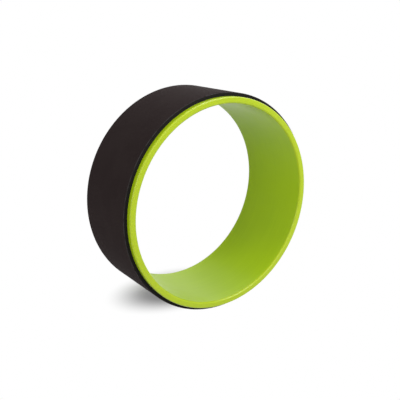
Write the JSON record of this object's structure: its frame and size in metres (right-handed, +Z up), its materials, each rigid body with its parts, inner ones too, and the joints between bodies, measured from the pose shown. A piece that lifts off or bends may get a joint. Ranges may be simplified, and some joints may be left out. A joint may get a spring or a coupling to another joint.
{
  "type": "yoga wheel",
  "caption": "Yoga wheel: a wide stiff plastic hoop with rounded edges, open in the middle, and a dark foam tread glued round the outside for leaning and rolling on.",
  "frame": {"origin": "the wheel's centre, on its axis and midway between its two edges", "axes": "+Y along the wheel's axis, +Z up with the wheel standing on its tread, +X along the way it rolls; the edge that faces the camera in the picture is the -Y one"},
  "size_m": [0.33, 0.13, 0.33],
  "materials": {
    "lime_plastic": "satin gloss, moulded",
    "charcoal_foam": "matt closed-cell foam",
    "adhesive": "dark acrylic film",
    "glue": "dried contact cement"
  },
  "bodies": {
    "root": {"core_ring": "lime_plastic", "adhesive_film": "adhesive", "foam_tread": "charcoal_foam", "seam_glue": "glue"}
  },
  "joints": []
}
